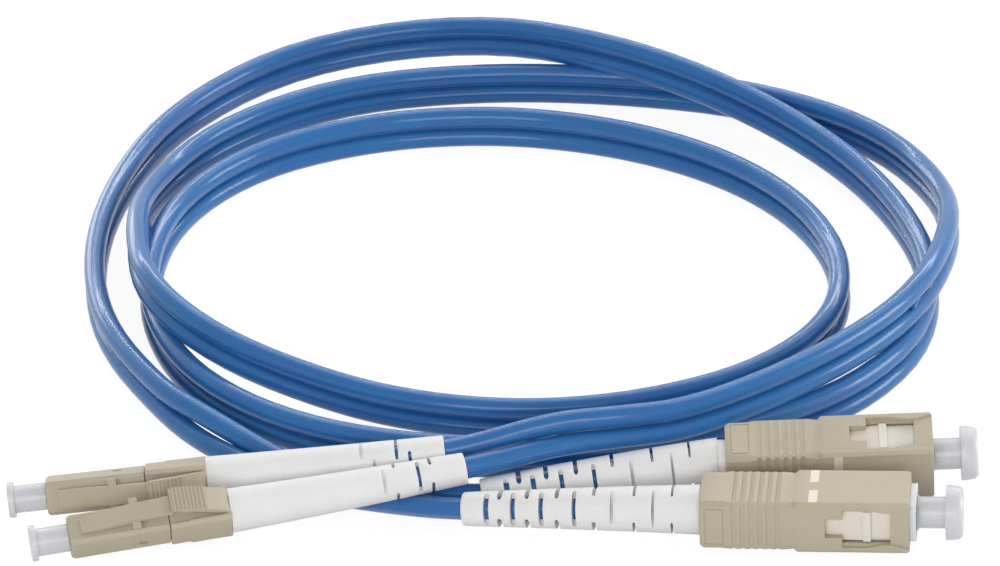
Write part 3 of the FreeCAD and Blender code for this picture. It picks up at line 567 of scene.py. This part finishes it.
def slotted_boot(plug):
    form = BOOT_FORMS[plug[:2]]
    lie = BOOT_LIES[plug]
    mount = next(m for m in frame["record"]["mounts"] if m["name"] == plug + "_plug")
    axis = Vector(mount["axis"])
    root = Vector(mount["pos_m"]) / MM - axis * form.set_back
    offset = Vector((0, *lie.bend))
    offset -= axis * offset.dot(axis)
    side = offset.normalized()
    lean = math.radians(lie.lean)
    radius = form.length ** 2 / (2 * (offset.length - form.length * lean))
    tilt = math.radians(lie.face)
    face = Vector((0, -math.sin(tilt), math.cos(tilt)))
    face_turn = math.atan2(-face.dot(axis.cross(side)), face.dot(side))

    piece = mesh_object(plug + "_bend_relief", straight_boot(form))
    combine(piece, "slots", boot_slots(form, face_turn), "DIFFERENCE")
    bend_boot(piece, root, axis, side, lean, radius)
    paint(piece, "boot_white")
    soften(piece, BOOT_EDGE)
    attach(piece, CORD_BODY)
    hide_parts(plug + "_boot")


for plug in PLUG_LIES:
    slotted_boot(plug)


# ---------- SC grip shells ----------

SHELL_LEN = 26.95
SHELL_W = 9.0
SHELL_H = 7.4
CORNER = 0.4
MOUTH_TAPER = 0.3
END_TAPER = 0.5
# How far a cutter runs past the face that it opens.
CUT_PAST = 1.0
# The grip is a little lower and narrower than the front, with larger corners away from its ribs.
GRIP_FROM = 14.4
GRIP_INSET = 0.2
GRIP_W = SHELL_W - 2 * GRIP_INSET
GRIP_H = SHELL_H - 2 * GRIP_INSET
GRIP_CORNER = 0.65
RIB_CORNER = 0.4
PLAIN_FRONT = 1.8
PLAIN_BACK = 2.9
RIBS = 6
RIB_START = 4.15
RIB_LEAD = 0.25
RIB_PITCH = 1.12
RIB_WIDE = 0.55
RIB_DEEP = 0.1
CROSS_DEEP = 0.2
RIB_REACH = 5.0
# Label panel in each flank, from the back.
PANEL_FROM = 0.74
PANEL_TO = 3.05
PANEL_HALF = 2.55
PANEL_LINE = 0.16
PANEL_LINE_DEEP = 0.1
# Hollow for the frame, and the bores behind it.
CORE_W = 7.2
CORE_H = 5.4
CORE_END = -21.6
NECK_END = -21.1
NECK_D = 5.4
BACK_BORE_D = 6.1
BACK_BORE_DEEP = 3.4
# Window in each flank, the slot behind it and the rails beside it, from the front.
WINDOW_X = (8.6, 2.4)
WINDOW_HALF = 2.35
WINDOW_DEEP = 1.3
SLOT_X = (10.8, 8.5)
SLOT_HALF = 1.35
RAIL_Z = (2.3, 2.8)
RAIL_TURN = 5.9
RAIL_END = 3.0
RAIL_SWEEP = 0.46
RAIL_STEPS = 6
RAIL_DEEP = 0.45
# Lead-in from the mouth to the window.
SCOOP_LEN = 2.5
SCOOP_HALF = 2.34
SCOOP_FLARE = 0.28
SCOOP_STEPS = 8
SCOOP_DEEP = 0.25
KEY_BACK = 1.0
KEY_LEN = 12.4
KEY_HALF = 1.05
KEY_TALL = 0.8
KEY_NOSE = 0.4
KEY_SUNK = 0.3
# Pockets for the two white bars, from the front.
MARK_BACK = 12.95
MARK_LEN = 1.2
MARK_Y = (1.0, 4.1)
MARK_DEEP = 0.2
# Front of each shell on its plug's line.
SHELL_FRONTS = {"sc_front": -2.25, "sc_rear": -1.25}


def shell_sections(front, back):
    """Sections of the shell from its mouth to its back: full height, then the lower grip."""
    step = front - GRIP_FROM
    return [
        (front, SHELL_W - MOUTH_TAPER, SHELL_H - MOUTH_TAPER, CORNER),
        (front - MOUTH_TAPER, SHELL_W, SHELL_H, CORNER),
        (step, SHELL_W, SHELL_H, CORNER),
        (step - END_TAPER, GRIP_W, GRIP_H, GRIP_CORNER),
        (step - PLAIN_FRONT, GRIP_W, GRIP_H, RIB_CORNER),
        (back + RIB_START - RIB_LEAD, GRIP_W, GRIP_H, RIB_CORNER),
        (back + PLAIN_BACK, GRIP_W, GRIP_H, GRIP_CORNER),
        (back + END_TAPER, GRIP_W, GRIP_H, GRIP_CORNER),
        (back, GRIP_W - END_TAPER, GRIP_H - END_TAPER, GRIP_CORNER),
    ]


def shell_key(front):
    """Key along the shell's underside, with a sloped nose."""
    nose = front - KEY_BACK
    root = -SHELL_H / 2 + KEY_SUNK
    foot = -SHELL_H / 2 - KEY_TALL
    mesh = bmesh.new()
    add_slab(mesh, [(nose - KEY_LEN, root), (nose - KEY_LEN, foot), (nose - KEY_NOSE, foot),
                    (nose, foot + KEY_NOSE), (nose, root)], -KEY_HALF, KEY_HALF)
    return mesh


def rail_outline(front, end):
    """Rail beside the window: square at its back, swept back to the window's edge at its front."""
    inner, outer = RAIL_Z
    back = front - WINDOW_X[0]
    points = [(back, inner), (back, outer), (front - RAIL_TURN, outer)]
    for k in range(1, RAIL_STEPS + 1):
        share = k / RAIL_STEPS
        points.append((front - RAIL_TURN + (RAIL_TURN - RAIL_END) * share,
                       outer - RAIL_SWEEP * (1 - math.cos(math.pi * share)) / 2))
    points.append((front - RAIL_END, inner))
    return [(x, z * end) for x, z in points]


def scoop_outline(front):
    """Shallow lead-in that narrows from the shell's mouth to the window."""
    edge = [(front + CUT_PAST / 2, SCOOP_HALF + 2 * SCOOP_FLARE)]
    for k in range(SCOOP_STEPS + 1):
        share = k / SCOOP_STEPS
        edge.append((front - SCOOP_LEN * share, SCOOP_HALF + SCOOP_FLARE * (1 + math.cos(math.pi * share))))
    return edge + [(x, -z) for x, z in reversed(edge)]


def flank_cutters(front):
    """Window, slot, rails and lead-in of both flanks."""
    face = SHELL_W / 2
    windows, slots, rails, scoops = (bmesh.new() for _ in range(4))
    for side in (1, -1):
        opened = on_side(side, face - WINDOW_DEEP, face + CUT_PAST)
        add_block(windows, [front - x for x in WINDOW_X], opened, (-WINDOW_HALF, WINDOW_HALF))
        add_block(slots, [front - x for x in SLOT_X], opened, (-SLOT_HALF, SLOT_HALF))
        for end in (1, -1):
            add_slab(rails, rail_outline(front, end), side * (face - RAIL_DEEP), side * (face + CUT_PAST))
        add_slab(scoops, scoop_outline(front), side * (face - SCOOP_DEEP), side * (face + CUT_PAST))
    return [windows, slots, rails, scoops]


def panel_cutters(back):
    """Outline of the label panel on both flanks: its long lines, then its ends."""
    lines, ends = (bmesh.new() for _ in range(2))
    half = PANEL_LINE / 2
    for side in (1, -1):
        depth = on_side(side, GRIP_W / 2 - PANEL_LINE_DEEP, SHELL_W / 2 + CUT_PAST)
        for z in (PANEL_HALF, -PANEL_HALF):
            add_block(lines, (back + PANEL_FROM, back + PANEL_TO), depth, (z - half, z + half))
        for x in (back + PANEL_FROM, back + PANEL_TO):
            add_block(ends, (x - half, x + half), depth, (-PANEL_HALF - half, PANEL_HALF + half))
    return [lines, ends]


def rib_cutters(back):
    """Grooves across the flanks, then across the top and bottom."""
    flank, cross = (bmesh.new() for _ in range(2))
    across = (-RIB_REACH, RIB_REACH)
    for side in (1, -1):
        flank_y = on_side(side, GRIP_W / 2 - RIB_DEEP, SHELL_W / 2 + CUT_PAST)
        cross_z = on_side(side, GRIP_H / 2 - CROSS_DEEP, GRIP_H / 2 + CUT_PAST)
        for number in range(RIBS):
            start = back + RIB_START + number * RIB_PITCH
            groove = (start, start + RIB_WIDE)
            add_block(flank, groove, flank_y, across)
            add_block(cross, groove, across, cross_z)
    return [flank, cross]


def mark_pockets(front):
    mesh = bmesh.new()
    start = front - MARK_BACK
    top = SHELL_H / 2
    for side in (1, -1):
        add_block(mesh, (start, start + MARK_LEN), on_side(side, *MARK_Y), (top - MARK_DEEP, top + CUT_PAST))
    return mesh


def grip_shell(plug):
    front = SHELL_FRONTS[plug]
    back = front - SHELL_LEN
    piece = mesh_object(plug + "_grip_shell", bevelled_bar(shell_sections(front, back)))
    combine(piece, "key", shell_key(front), "UNION")
    hollows = [
        bevelled_bar([(CORE_END, CORE_W, CORE_H, CORNER), (front + CUT_PAST, CORE_W, CORE_H, CORNER)]),
        rod(back - CUT_PAST, back + BACK_BORE_DEEP, BACK_BORE_D),
        rod(back + CUT_PAST, NECK_END, NECK_D),
    ]
    dressing = flank_cutters(front) + panel_cutters(back) + rib_cutters(back) + [mark_pockets(front)]
    # The parts of one cutter stay clear of each other; cutters that cross are taken out in turn.
    for cutter in hollows + dressing:
        combine(piece, "cutter", cutter, "DIFFERENCE")
    settle(piece, plug, plug + "_shell", plug + "_outer_housing")


for plug in SHELL_FRONTS:
    grip_shell(plug)


# ---------- LC fronts, latches and triggers ----------

# Lengths run back from the nose's end face, and heights are over the plug's line.
LC_BODY = 4.5
LC_CORNER = 0.45
LC_MOUTH_TAPER = 0.4
LC_FRONT_LEN = 13.0
# Along -X: mouth for the ferrule and its cap, the ferrule's bore, and room for its flange and spring.
LC_BORES = [(-5.4, 1.0, 3.2), (-7.0, 0.0, 1.35), (-LC_FRONT_LEN - 1.0, -6.3, 3.5)]
PORT_X = (-10.0, -8.9)
PORT_Z = (-0.95, -0.4)
PORT_DEEP = 0.8
LATCH_BASE = LC_BODY / 2 + 0.02
LATCH_ROOT = 1.3
LATCH_BEND = 2.0
LATCH_END = 14.6
LATCH_RISE = math.tan(math.radians(7.1))
LATCH_HALF = 1.25
# Length, and height over the latch's rising underside, from its end back along its top to its root.
LATCH_TOP = [(LATCH_END, 0.45), (14.1, 0.62), (7.7, 0.85), (7.5, 0.15), (6.8, 0.15), (4.5, 0.75), (4.2, 0.75),
             (4.1, 0.3), (1.6, 0.42)]
EAR_FROM = 8.2
EAR_LEN = 1.1
EAR_HALF = 2.2
EAR_LOW = 0.15
EAR_TALL = 0.7
TRIGGER_ROOT = 20.2
TRIGGER_TIP = 13.4
TRIGGER_REACH = TRIGGER_ROOT - TRIGGER_TIP
TRIGGER_HALF = 1.7
TRIGGER_BASE = 2.72
TRIGGER_LIFT = 2.05
TRIGGER_CURL = 1.1
TRIGGER_STEPS = 8
TRIGGER_THICK = 0.75
TRIGGER_TIP_THICK = 0.7 * TRIGGER_THICK
TRIGGER_EDGE = 0.04
HEEL_FOOT = 0.8
HEEL_TOP = 0.4
HEEL_TALL = 0.5
FINE_RIBS = 9
FINE_RIB_FROM = 0.5
FINE_RIB_PITCH = 0.5
FINE_RIB_HALF = 0.12
FINE_RIB_SUNK = 0.3
FINE_RIB_TALL = 0.15


def lc_front_body(plug):
    """Square nose with its bores and a port in each flank."""
    piece = mesh_object(plug + "_nose", bevelled_bar([
        (0.0, LC_BODY - LC_MOUTH_TAPER, LC_BODY - LC_MOUTH_TAPER, LC_CORNER),
        (-LC_MOUTH_TAPER, LC_BODY, LC_BODY, LC_CORNER),
        (-LC_FRONT_LEN, LC_BODY, LC_BODY, LC_CORNER),
    ]))
    for x0, x1, diameter in LC_BORES:
        combine(piece, "bore", rod(x0, x1, diameter), "DIFFERENCE")
    ports = bmesh.new()
    for side in (1, -1):
        add_block(ports, PORT_X, on_side(side, LC_BODY / 2 - PORT_DEEP, LC_BODY / 2 + CUT_PAST), PORT_Z)
    combine(piece, "ports", ports, "DIFFERENCE")
    settle(piece, plug, CORD_BODY, plug + "_front_housing")


def latch_underside(along):
    return LATCH_BASE + (along - LATCH_BEND) * LATCH_RISE


def lc_latch(plug):
    """Rising arm with a low pad at its root and an ear on each side."""
    outline = [(LATCH_ROOT, LATCH_BASE), (LATCH_BEND, LATCH_BASE), (LATCH_END, latch_underside(LATCH_END))]
    outline += [(along, max(latch_underside(along), LATCH_BASE) + height) for along, height in LATCH_TOP]
    arm = bmesh.new()
    add_slab(arm, [(-along, z) for along, z in outline], -LATCH_HALF, LATCH_HALF)
    piece = mesh_object(plug + "_latch_arm", arm)
    ears = bmesh.new()
    under = latch_underside(EAR_FROM)
    add_block(ears, (-EAR_FROM - EAR_LEN, -EAR_FROM), (-EAR_HALF, EAR_HALF),
              (under + EAR_LOW, under + EAR_TALL))
    combine(piece, "ears", ears, "UNION")
    settle(piece, plug, plug + "_latch_body", plug + "_latch")


def trigger_underside(along):
    """Height of the curved lever's underside, which rises from its root to its tip."""
    share = (TRIGGER_ROOT - along) / TRIGGER_REACH
    return TRIGGER_BASE + TRIGGER_LIFT * math.sin(share * math.pi / 2) ** TRIGGER_CURL


def lc_trigger(plug):
    """Curved lever from the back body over the latch's end, with fine ribs across it."""
    stations = [TRIGGER_ROOT - TRIGGER_REACH * k / TRIGGER_STEPS for k in range(TRIGGER_STEPS + 1)]
    lower = [(along, trigger_underside(along)) for along in stations]
    upper = [(along, z + TRIGGER_THICK) for along, z in reversed(lower[1:-1])]
    outline = [(TRIGGER_ROOT + HEEL_FOOT, TRIGGER_BASE)] + lower
    outline += [(TRIGGER_TIP, TRIGGER_BASE + TRIGGER_LIFT + TRIGGER_TIP_THICK)] + upper
    outline.append((TRIGGER_ROOT + HEEL_TOP, TRIGGER_BASE + HEEL_TALL))
    arm = bmesh.new()
    add_slab(arm, [(-along, z) for along, z in outline], -TRIGGER_HALF, TRIGGER_HALF)
    piece = mesh_object(plug + "_trigger_lever", arm)
    ribs = bmesh.new()
    for number in range(FINE_RIBS):
        along = TRIGGER_TIP + FINE_RIB_FROM + number * FINE_RIB_PITCH
        top = trigger_underside(along) + TRIGGER_THICK
        add_block(ribs, (-along - FINE_RIB_HALF, -along + FINE_RIB_HALF), (-TRIGGER_HALF, TRIGGER_HALF),
                  (top - FINE_RIB_SUNK, top + FINE_RIB_TALL))
    combine(piece, "ribs", ribs, "UNION")
    settle(piece, plug, plug + "_trigger_body", plug + "_trigger", TRIGGER_EDGE)


for plug in ("lc_front", "lc_rear"):
    lc_front_body(plug)
    lc_latch(plug)
    lc_trigger(plug)


# ---------- duplex cord ----------

STRAND_D = 2.9
STRAND_PITCH = 3.1
WEB_THICK = 0.62
FLOOR_Z = -4.5
PAIR_Z = FLOOR_Z + STRAND_D / 2 + STRAND_PITCH / 2
COIL_CENTRE = (-60.0, 66.7)
COIL_START = -60.0
STATION_STEP = 20.0
# How far the pair lies from the coil's centre at each station from 1, and its lift where turns cross.
COIL_RADII = [
    57.2, 59.0, 59.9, 61.8, 62.7, 59.7, 56.7, 57.3, 59.7, 59.4, 55.6, 51.3, 50.5, 47.0, 40.5, 40.1,
    41.6, 43.6, 46.3, 47.3, 45.3, 42.8, 41.2, 40.7, 41.5, 43.9, 47.0, 50.3, 50.9, 49.8, 49.8, 50.9,
    51.3, 50.9, 51.3, 54.8, 58.8, 59.8, 57.4, 54.9, 55.1, 54.9, 55.6, 65.2, 73.8, 68.2, 61.3, 57.6,
    56.4,
]
COIL_LIFTS = {
    1: 6.0, 2: 6.0, 3: 5.4, 4: 1.1, 11: 0.9, 12: 5.4, 13: 6.1, 14: 4.5, 15: 0.5,
    42: 2.7, 43: 6.0, 44: 4.4, 45: 0.3,
}
# Route of each strand from its crimp to the coil.
LEGS = {
    "lc_front": [(-85.51, -0.31, 0.18), (-67.88, 4.67, 1.22), (-58.3, 7.48, 1.9), (-48.5, 11.3, 2.9),
                 (-40.0, 13.5, 2.9), (-31.2, 16.7, 2.35)],
    "lc_rear": [(-89.17, 6.56, 0.62), (-71.05, 9.22, 1.73), (-61.18, 10.63, 2.44), (-49.5, 12.6, 5.5),
                (-41.0, 13.4, 6.0), (-31.2, 16.7, 5.45)],
    "sc_front": [(-26.5, 0.0, 0.0), (-37.05, 0.0, 0.0), (-52.51, 0.8, -0.65), (-62.39, 1.82, -1.48),
                 (-71.0, 6.0, -3.05), (-78.5, 7.9, -3.05), (-84.6, 11.0, -3.05), (-90.6, 15.7, -3.05),
                 (-97.6, 21.7, -3.05), (-103.8, 29.9, -3.05)],
    "sc_rear": [(-25.01, 11.17, 0.72), (-27.8, 10.95, 0.69), (-35.46, 9.93, 0.14), (-50.73, 7.65, -1.24),
                (-60.5, 6.04, -2.31), (-69.2, 10.9, -2.75), (-77.5, 11.5, -3.0), (-84.1, 14.25, -2.5),
                (-90.0, 18.4, -1.6), (-97.1, 23.6, -0.2), (-103.8, 29.9, 0.05)],
}
STRANDS = [("strand_lower", "lc_front", "sc_front", -1), ("strand_upper", "lc_rear", "sc_rear", 1)]


def coil_points(side):
    """Control points of one strand's turns; the spline cuts inside them, so they stand out a little."""
    outward = 1 / math.cos(math.radians(STATION_STEP / 2))
    points = []
    for station, radius in enumerate(COIL_RADII, 1):
        angle = math.radians(COIL_START + station * STATION_STEP)
        points.append((COIL_CENTRE[0] + radius * outward * math.cos(angle),
                       COIL_CENTRE[1] + radius * outward * math.sin(angle),
                       PAIR_Z + COIL_LIFTS.get(station, 0.0) + side * STRAND_PITCH / 2))
    return points


def cord_curve(name, points, diameter, rings=5, roundness=6):
    data = bpy.data.curves.new(name, "CURVE")
    data.dimensions = "3D"
    spline = data.splines.new("NURBS")
    spline.points.add(len(points) - 1)
    for place, point in zip(spline.points, points):
        place.co = (point[0] * MM, point[1] * MM, point[2] * MM, 1.0)
    spline.order_u = 3
    spline.use_endpoint_u = True
    spline.use_smooth = True
    data.resolution_u = rings
    data.bevel_depth = diameter / 2 * MM
    data.bevel_resolution = roundness
    data.use_fill_caps = True
    curve = bpy.data.objects.new(name, data)
    bpy.context.scene.collection.objects.link(curve)
    data.materials.append(MATERIALS["cord_blue"])
    return curve


def line_length(points):
    """Length of the smooth line that a spline makes of its control points."""
    probe = cord_curve("measure", points, 0.0, rings=12)
    mesh = bpy.data.meshes.new_from_object(probe)
    places = [vertex.co.copy() for vertex in mesh.vertices]
    bpy.data.objects.remove(probe)
    bpy.data.meshes.remove(mesh)
    return sum((b - a).length for a, b in zip(places, places[1:]))


for name, lc_end, sc_end, side in STRANDS:
    route = LEGS[lc_end] + coil_points(side) + LEGS[sc_end][::-1]
    strand = cord_curve(name, route, STRAND_D)
    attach(strand, CORD_BODY)
    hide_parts("cord_coil", lc_end + "_cord", sc_end + "_cord")
    [c * MM for c in route[0]]
    round(line_length(route), 3)

# The web joins the strands along the coil, and stops short of where they part for their plugs.
web_route = coil_points(0)[1:] + [LEGS["sc_front"][-1][:2] + (PAIR_Z,)]
web = cord_curve("strand_web", web_route, WEB_THICK, roundness=2)
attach(web, CORD_BODY)


# ---------- floor, world and lamps ----------

FLOOR_HALF = 1.5
FLOOR_MIDDLE = (-0.06, 0.06, FLOOR_Z * MM)


def grey(level):
    return (level, level, level, 1.0)


def white_paper():
    """White for the camera and in gloss, with a faint shadow where the object stands."""
    finish = Finish("white_paper")
    paper = finish.node("ShaderNodeBsdfDiffuse", inputs={"Color": grey(0.80)})
    faint = finish.node("ShaderNodeBsdfDiffuse", inputs={"Color": grey(0.18)})
    glow = finish.node("ShaderNodeEmission", inputs={"Color": grey(1.0), "Strength": 0.9})
    shown = finish.node("ShaderNodeAddShader", inputs={0: glow, 1: faint})
    return finish.show(finish.node("ShaderNodeMixShader", inputs={
        0: finish.seen_past_object(), 1: paper, 2: shown}))


def studio_world():
    """A plain level of light on the object, and pale where it is seen."""
    finish = Finish("studio", world=True)
    level = finish.node("ShaderNodeBackground", inputs={"Color": grey(1.0), "Strength": 0.38})
    pale = finish.node("ShaderNodeBackground", inputs={"Color": grey(0.80), "Strength": 1.0})
    return finish.show(finish.node("ShaderNodeMixShader", inputs={
        0: finish.seen_past_object(), 1: level, 2: pale}))


def soft_box(name, place, width, height, power):
    """Area lamp, in metres and watts, aimed at the middle of the object."""
    data = bpy.data.lights.new(name, "AREA")
    data.shape = "RECTANGLE"
    data.size = width
    data.size_y = height
    data.energy = power
    lamp = bpy.data.objects.new(name, data)
    bpy.context.scene.collection.objects.link(lamp)
    (x0, y0, _), (x1, y1, _) = cad_box
    middle = Vector(((x0 + x1) / 2, (y0 + y1) / 2, 0.0))
    lamp.location = place
    lamp.rotation_euler = (middle - Vector(place)).to_track_quat("-Z", "Y").to_euler()


sheet = bmesh.new()
bmesh.ops.create_grid(sheet, x_segments=1, y_segments=1, size=FLOOR_HALF)
bmesh.ops.translate(sheet, verts=sheet.verts, vec=FLOOR_MIDDLE)
floor = mesh_object("table_top", sheet)
floor.data.materials.append(white_paper())

bpy.context.scene.world = studio_world()
soft_box("key_light", (-0.10, -0.85, 0.40), 0.8, 0.4, 4.6)
soft_box("back_light", (-0.02, 0.50, 0.72), 0.8, 0.45, 2.2)
soft_box("back_strip", (-0.06, 0.90, 0.50), 1.3, 0.04, 3.0)
soft_box("left_light", (-0.60, 0.75, 0.16), 0.5, 0.28, 1.6)
soft_box("right_light", (0.75, 0.20, 0.24), 0.4, 0.3, 3.2)


# ---------- camera ----------

# Long lens: azimuth, elevation and roll of the view, then the eye's distance and shifts in metres.
AZIMUTH = math.radians(6.5)
ELEVATION = math.radians(28.5)
ROLL = math.radians(2.6)
LENS_MM = 250.0
SENSOR_MM = 36.0
DISTANCE = 0.8926
SIDE_SHIFT = -0.05501
UP_SHIFT = 0.02947


def set_camera():
    up = Vector((0, 0, 1))
    right = Vector((math.cos(AZIMUTH), math.sin(AZIMUTH), 0.0))
    ahead = Vector((-math.sin(AZIMUTH), math.cos(AZIMUTH), 0.0))
    sight = ahead * math.cos(ELEVATION) - up * math.sin(ELEVATION)
    over = ahead * math.sin(ELEVATION) + up * math.cos(ELEVATION)
    across = right * math.cos(ROLL) - over * math.sin(ROLL)
    upright = right * math.sin(ROLL) + over * math.cos(ROLL)
    eye = across * SIDE_SHIFT + upright * UP_SHIFT - sight * DISTANCE
    lens = bpy.data.cameras.new("view")
    lens.lens = LENS_MM
    lens.sensor_width = SENSOR_MM
    lens.clip_start = 0.05
    lens.clip_end = 10.0
    camera = bpy.data.objects.new("view", lens)
    bpy.context.scene.collection.objects.link(camera)
    camera.matrix_world = Matrix.Translation(eye) @ Matrix((across, upright, -sight)).transposed().to_4x4()
    bpy.context.scene.camera = camera


set_camera()
bpy.context.scene.view_settings.view_transform = "Standard"
